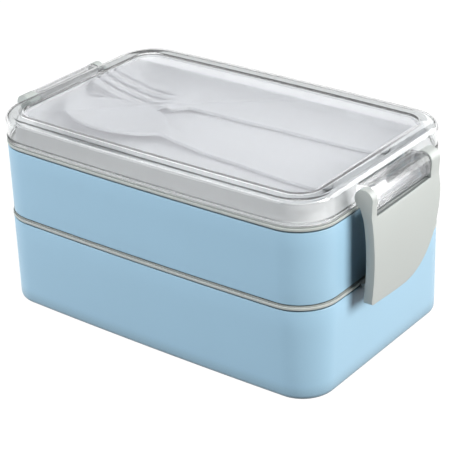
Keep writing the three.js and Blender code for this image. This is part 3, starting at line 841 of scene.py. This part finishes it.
def moulded_plastic(name, color, roughness, grain=0.25, bump=0.02, subsurface=0.0, reach=0.0):
    """Moulded plastic: faint clouding, uneven gloss, a fine grain and, within reach, painted shade in gaps.
    """
    material, nodes, links = node_tree(name)
    shader = nodes["Principled BSDF"]
    place = nodes.new("ShaderNodeTexCoord")
    cloud = nodes.new("ShaderNodeTexNoise")
    cloud.inputs["Scale"].default_value = 22
    cloud.inputs["Detail"].default_value = 3
    tint = nodes.new("ShaderNodeMixRGB")
    tint.inputs[1].default_value = (*[c * 0.965 for c in color], 1)
    tint.inputs[2].default_value = (*[min(c * 1.03, 1) for c in color], 1)
    fine = nodes.new("ShaderNodeTexNoise")
    fine.inputs["Scale"].default_value = 1 / (grain * MM)
    fine.inputs["Detail"].default_value = 4
    relief = nodes.new("ShaderNodeBump")
    relief.inputs["Strength"].default_value = bump * 10
    relief.inputs["Distance"].default_value = bump * MM
    links.new(place.outputs["Object"], cloud.inputs["Vector"])
    links.new(place.outputs["Object"], fine.inputs["Vector"])
    links.new(cloud.outputs["Fac"], tint.inputs[0])
    links.new(fine.outputs["Fac"], relief.inputs["Height"])
    # Painted shade in gaps and seams, when a reach is given.
    shaded = painted_gap_shade(nodes, links, tint.outputs[0], reach) if reach else tint.outputs[0]
    links.new(shaded, shader.inputs["Base Color"])
    gloss = ramp(nodes, links, cloud.outputs["Fac"], 0, 1, roughness - 0.05, roughness + 0.05)
    links.new(gloss, shader.inputs["Roughness"])
    links.new(relief.outputs["Normal"], shader.inputs["Normal"])
    shader.inputs["Subsurface Weight"].default_value = subsurface
    shader.inputs["Subsurface Radius"].default_value = (1, 1, 1)
    shader.inputs["Subsurface Scale"].default_value = 1.2 * MM
    return material


def paint_step_shadow(material):
    """Paints shadow inside the step that runs along the latch plate's upper edge, under the lug."""
    nodes = material.node_tree.nodes
    links = material.node_tree.links
    place = nodes.new("ShaderNodeTexCoord")
    apart = nodes.new("ShaderNodeSeparateXYZ")
    links.new(place.outputs["Object"], apart.inputs[0])

    calc = calculator(nodes, links)
    x, y, z = (apart.outputs[axis] for axis in "XYZ")
    along = calc("MULTIPLY", calc("SIGN", x), y)
    mask = calc("LESS_THAN", calc("ABSOLUTE", x), (PLATE_OUTER - 0.3) * MM)
    limits = ((along, ARM_INNER), (z, (PLATE_TOP - 1.2, PLATE_TOP + 0.1)))
    for value, (low, high) in limits:
        mask = calc("MULTIPLY", mask, calc("GREATER_THAN", value, low * MM))
        mask = calc("MULTIPLY", mask, calc("LESS_THAN", value, high * MM))
    shader = nodes["Principled BSDF"]
    # Painted shadow: the base colour darkened inside the step.
    shade = nodes.new("ShaderNodeMixRGB")
    shade.blend_type = "MULTIPLY"
    shade.inputs[2].default_value = (*PAINTED_STEP_SHADE, 1)
    links.new(mask, shade.inputs[0])
    links.new(shader.inputs["Base Color"].links[0].from_socket, shade.inputs[1])
    links.new(shade.outputs[0], shader.inputs["Base Color"])


def lid_inset(calc, x, y):
    """How far a point lies inside the rim outline, from the sizes of its x and y, all in metres."""
    across = calc("DIVIDE", x, HALF_LENGTH * MM)
    crown = CROWN / HALF_DEPTH
    bulge = calc("MULTIPLY_ADD", calc("MULTIPLY", across, across), -crown, 1 + crown)
    past_x = calc("MAXIMUM", calc("SUBTRACT", x, (HALF_LENGTH - CORNER_RADIUS) * MM), 0.0)
    flat_y = calc("DIVIDE", y, bulge)
    past_y = calc("MAXIMUM", calc("SUBTRACT", flat_y, (HALF_DEPTH - CORNER_RADIUS) * MM), 0.0)
    reach = calc("SQRT", calc("ADD", calc("MULTIPLY", past_x, past_x), calc("MULTIPLY", past_y, past_y)))
    return calc("SUBTRACT", CORNER_RADIUS * MM, reach)


def clear_plastic(name):
    """Clear styrene: bends light like glass, lets lamps light what it covers, hazes a little over the panel
    and the lugs, and has a painted shade line along the crest of the step down to the panel."""
    material, nodes, links = node_tree(name)
    calc = calculator(nodes, links)
    shader = nodes["Principled BSDF"]
    shader.inputs["Base Color"].default_value = (0.97, 0.985, 0.99, 1)
    shader.inputs["Transmission Weight"].default_value = 1
    shader.inputs["IOR"].default_value = 1.46
    place = nodes.new("ShaderNodeTexCoord")
    smear = nodes.new("ShaderNodeTexNoise")
    smear.inputs["Scale"].default_value = 60
    links.new(place.outputs["Object"], smear.inputs["Vector"])
    links.new(ramp(nodes, links, smear.outputs["Fac"], 0, 1, 0, 0.05), shader.inputs["Roughness"])
    apart = nodes.new("ShaderNodeSeparateXYZ")
    links.new(place.outputs["Object"], apart.inputs[0])
    x, y, z = (apart.outputs[axis] for axis in "XYZ")
    size_x = calc("ABSOLUTE", x)
    inset = lid_inset(calc, size_x, calc("ABSOLUTE", y))
    panel = ramp(nodes, links, inset, (LID_BORDER - 0.5) * MM, (LID_BORDER + 0.5) * MM)
    lug_part = ramp(nodes, links, size_x, (HALF_LENGTH + 0.8) * MM, (HALF_LENGTH + 1.6) * MM)

    haze = nodes.new("ShaderNodeBsdfDiffuse")
    through_haze = nodes.new("ShaderNodeBsdfTranslucent")
    for milky in (haze, through_haze):
        milky.inputs["Color"].default_value = HAZE_COLOR
    milk = blend(nodes, links, 0.5, haze.outputs[0], through_haze.outputs[0])
    amount = calc("ADD", calc("MULTIPLY", panel, PANEL_HAZE), calc("MULTIPLY", lug_part, LUG_HAZE))
    look = blend(nodes, links, amount, shader.outputs[0], milk)
    straight = nodes.new("ShaderNodeBsdfTransparent")
    unbent = ramp(nodes, links, lug_part, 0, 1, STRAIGHT_LIGHT, LUG_STRAIGHT_LIGHT)
    look = blend(nodes, links, unbent, look, straight.outputs[0])

    # Painted shade: a dark line on the crest round the panel, strong at the front and faint at the back.
    line = ramp(nodes, links, inset, (LID_CREST - 2.1) * MM, (LID_CREST - 1.7) * MM)
    limits = ((inset, LID_CREST - 0.1, LID_CREST - 0.4, 0, 1),
              (z, LID_HIGH.z - 0.35, LID_HIGH.z - 0.2, 0, 1),
              (y, 0, 0.6 * HALF_DEPTH, CREST_SHADE, FAR_CREST_SHADE),
              (x, -0.92 * HALF_LENGTH, -0.8 * HALF_LENGTH, LEFT_CREST_SHADE, 1))
    for value, low, high, start, end in limits:
        line = calc("MULTIPLY", line, ramp(nodes, links, value, low * MM, high * MM, start, end))
    dark = nodes.new("ShaderNodeBsdfDiffuse")
    dark.inputs["Color"].default_value = (0.02, 0.02, 0.022, 1)
    look = blend(nodes, links, line, look, dark.outputs[0])

    surface = nodes.new("ShaderNodeNewGeometry")
    facing = nodes.new("ShaderNodeSeparateXYZ")
    links.new(surface.outputs["Normal"], facing.inputs[0])
    upward = calc("ABSOLUTE", facing.outputs["Z"])
    passing = calc("MULTIPLY", ramp(nodes, links, upward, 0, 1, WALL_LIGHT, PANEL_LIGHT),
                   ramp(nodes, links, lug_part, 0, 1, 1, LUG_LIGHT))
    through = nodes.new("ShaderNodeBsdfTransparent")
    links.new(passing, through.inputs["Color"])
    path = nodes.new("ShaderNodeLightPath")
    surface_out = blend(nodes, links, path.outputs["Is Shadow Ray"], look, through.outputs[0])
    links.new(surface_out, nodes["Material Output"].inputs["Surface"])
    return material


def dress(obj, material, body, node):
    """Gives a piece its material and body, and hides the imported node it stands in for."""
    obj.data.materials.clear()
    obj.data.materials.append(material)
    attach(obj, body)
    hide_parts(node)


def dress_all():
    """Builds every piece and gives it its plastic."""
    # reach: how far the painted gap shade spreads, in millimetres.
    blue = moulded_plastic("blue_plastic", (0.385, 0.62, 0.80), 0.38, reach=12)
    grey = moulded_plastic("pale_grey_plastic", (0.485, 0.525, 0.515), 0.42)
    band = moulded_plastic("band_grey_plastic", (0.50, 0.54, 0.525), 0.36, reach=2.5)
    tray = moulded_plastic("tray_grey_plastic", (0.525, 0.54, 0.555), 0.40, bump=0.01)
    cutlery = moulded_plastic("cutlery_plastic", (0.50, 0.515, 0.53), 0.42, bump=0.008)
    seal = moulded_plastic("seal_silicone", (0.74, 0.76, 0.77), 0.62, subsurface=0.2)
    latch_grey = moulded_plastic("latch_grey_plastic", (0.485, 0.525, 0.515), 0.42, reach=2.5)
    # Painted shadow in each latch plate's step under the lug.
    paint_step_shadow(latch_grey)
    clear = clear_plastic("clear_plastic")
    dress(lower_shell(), blue, "lower_box", "lower_shell")
    dress(lower_liner(), band, "lower_box", "lower_liner")
    dress(middle_cover(), grey, "middle_cover", "middle_cover")
    middle_gasket = gasket("middle_gasket_fine", "middle_cover_gasket")
    dress(middle_gasket, seal, "middle_cover", "middle_cover_gasket")
    dress(upper_shell(), blue, "upper_box", "upper_shell")
    dress(upper_liner(), band, "upper_box", "upper_liner")
    dress(divider(), grey, "divider", "divider")
    dress(cutlery_tray(), tray, "cutlery_tray", "cutlery_tray")
    dress(gasket("tray_gasket_fine", "tray_gasket"), seal, "cutlery_tray", "tray_gasket")
    dress(fork(), cutlery, "fork", "fork")
    dress(spoon(), cutlery, "spoon", "spoon")
    dress(lid(), clear, "lid", "lid")
    dress(latch("latch_right_fine", 0), latch_grey, "latch_right", "latch_right")
    dress(latch("latch_left_fine", math.pi), latch_grey, "latch_left", "latch_left")


# ---------------------------------------------------------------- studio

WORLD_LIGHT = 0.0015                     # world brightness for light that has bounced off a dull surface
WORLD_REFLECTION = 0.12                  # and for mirrored or clear paths
FLOOR_REACH = 6                          # metres
FLOOR_LEVEL = -0.0002
STRIP_HEIGHT = 0.224
CAMERA_AZIMUTH = 38.045
CAMERA_ELEVATION = 26.624
CAMERA_ROLL = -2.084
CAMERA_DISTANCE = 770.2
CAMERA_TARGET = Vector((1.86, 0.0, 41.0))
CAMERA_LENS = 127.76


def add_camera():
    """Camera at the fitted angle, distance and roll, in degrees and millimetres."""
    azimuth = math.radians(CAMERA_AZIMUTH)
    elevation = math.radians(CAMERA_ELEVATION)
    right = Vector((math.cos(azimuth), math.sin(azimuth), 0))
    back = Vector((math.sin(azimuth) * math.cos(elevation), -math.cos(azimuth) * math.cos(elevation),
                   math.sin(elevation)))
    up = back.cross(right)
    roll = math.radians(CAMERA_ROLL)
    rolled_right = right * math.cos(roll) + up * math.sin(roll)
    rolled_up = up * math.cos(roll) - right * math.sin(roll)
    data = bpy.data.cameras.new("camera")
    data.sensor_width = 36
    data.lens = CAMERA_LENS
    data.clip_start = 0.05
    camera = bpy.data.objects.new("camera", data)
    bpy.context.scene.collection.objects.link(camera)
    turn = Matrix((rolled_right, rolled_up, back)).transposed().to_4x4()
    place = (CAMERA_TARGET + back * CAMERA_DISTANCE) * MM
    camera.matrix_world = Matrix.Translation(place) @ turn
    bpy.context.scene.camera = camera


def softbox(name, place, size, power, color=(1, 1, 1)):
    """A square area light aimed at the middle of the box."""
    data = bpy.data.lights.new(name, "AREA")
    data.size = size
    data.energy = power
    data.color = color
    lamp = bpy.data.objects.new(name, data)
    bpy.context.scene.collection.objects.link(lamp)
    lamp.location = Vector(place)
    aim = Vector((0, 0, 0.05)) - lamp.location
    lamp.rotation_euler = aim.to_track_quat("-Z", "Y").to_euler()
    lamp.visible_transmission = False
    return lamp


def add_floor():
    """Pale floor that photographs as clean white, with only a trace of shade under the box."""
    corners = [(x * FLOOR_REACH, y * FLOOR_REACH, 0) for x, y in ((-1, -1), (1, -1), (1, 1), (-1, 1))]
    data = bpy.data.meshes.new("floor")
    data.from_pydata(corners, [], [(0, 1, 2, 3)])
    floor = bpy.data.objects.new("floor", data)
    bpy.context.scene.collection.objects.link(floor)
    floor.location.z = FLOOR_LEVEL
    material, nodes, links = node_tree("floor_white")
    shader = nodes["Principled BSDF"]
    shader.inputs["Base Color"].default_value = (0.08, 0.08, 0.08, 1)
    shader.inputs["Roughness"].default_value = 1
    shader.inputs["Specular IOR Level"].default_value = 0
    path = nodes.new("ShaderNodeLightPath")
    glow = nodes.new("ShaderNodeEmission")
    links.new(ramp(nodes, links, path.outputs["Diffuse Depth"], 0, 1, 1, 0), glow.inputs["Strength"])
    both = nodes.new("ShaderNodeAddShader")
    links.new(shader.outputs[0], both.inputs[0])
    links.new(glow.outputs[0], both.inputs[1])
    links.new(both.outputs[0], nodes["Material Output"].inputs["Surface"])
    data.materials.append(material)


def add_world():
    """White to the eye, dim in reflections and through clear plastic, and weaker still as a light."""
    world = bpy.data.worlds.new("studio")
    world.use_nodes = True
    world.cycles.sampling_method = "NONE"
    nodes = world.node_tree.nodes
    links = world.node_tree.links
    background = nodes["Background"]
    background.inputs["Color"].default_value = (1, 1, 1, 1)
    path = nodes.new("ShaderNodeLightPath")
    level = ramp(nodes, links, path.outputs["Diffuse Depth"], 0, 1, WORLD_REFLECTION, WORLD_LIGHT)
    calc = calculator(nodes, links)
    links.new(calc("MAXIMUM", level, path.outputs["Is Camera Ray"]), background.inputs["Strength"])
    bpy.context.scene.world = world


def add_studio():
    """World, floor, camera and lamps: some lamps only light, others only show as highlights."""
    add_world()
    add_floor()
    softbox("right", (1.5, 0.25, 0.75), 0.8, 32, (1, 0.97, 0.94))
    sheen = softbox("sheen", (1.0, 1.35, 0.5), 1.4, 40)
    sheen.visible_diffuse = False
    softbox("front", (-0.9, -1.5, 0.9), 1.5, 37)
    sparkle = softbox("sparkle", (-0.1, -0.1, 1.5), 0.9, 12)
    sparkle.visible_diffuse = False
    softbox("top", (0.3, 0.3, 1.7), 1.2, 7)
    fill = softbox("back_fill", (-1.3, 1.5, 0.7), 1.2, 17)
    fill.visible_glossy = False
    strip = softbox("back_strip", (-0.7, 1.0, 0.462), 1.0, 1.8)
    strip.data.shape = "RECTANGLE"
    strip.data.size_y = STRIP_HEIGHT
    strip.rotation_euler = (math.radians(-90), 0, 0)
    strip.visible_diffuse = False
    add_camera()
    bpy.context.scene.view_settings.view_transform = "Standard"


dress_all()
add_studio()
